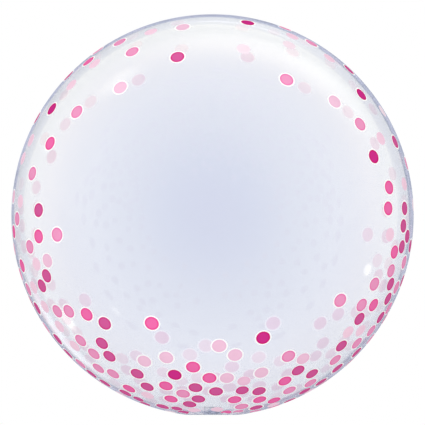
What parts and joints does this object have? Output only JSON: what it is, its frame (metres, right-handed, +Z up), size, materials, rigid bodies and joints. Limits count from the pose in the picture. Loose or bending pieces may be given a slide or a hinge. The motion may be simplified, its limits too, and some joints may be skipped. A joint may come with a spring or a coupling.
{
  "type": "bubble balloon",
  "caption": "Round inflated balloon of clear film, printed with pink confetti dots, standing on a small flat spot with its flat filling tail folded under it.",
  "frame": {"origin": "on the ground, at the middle of the small flat spot under the balloon", "axes": "+Z up through the neck and the top; the front clear window faces -Y; the filling tail lies along +Y"},
  "size_m": [0.56, 0.56, 0.5577],
  "materials": {
    "film": "clear glossy plastic film with flat printed dots in seven pinks"
  },
  "bodies": {
    "root": {"balloon": "film"}
  },
  "joints": []
}
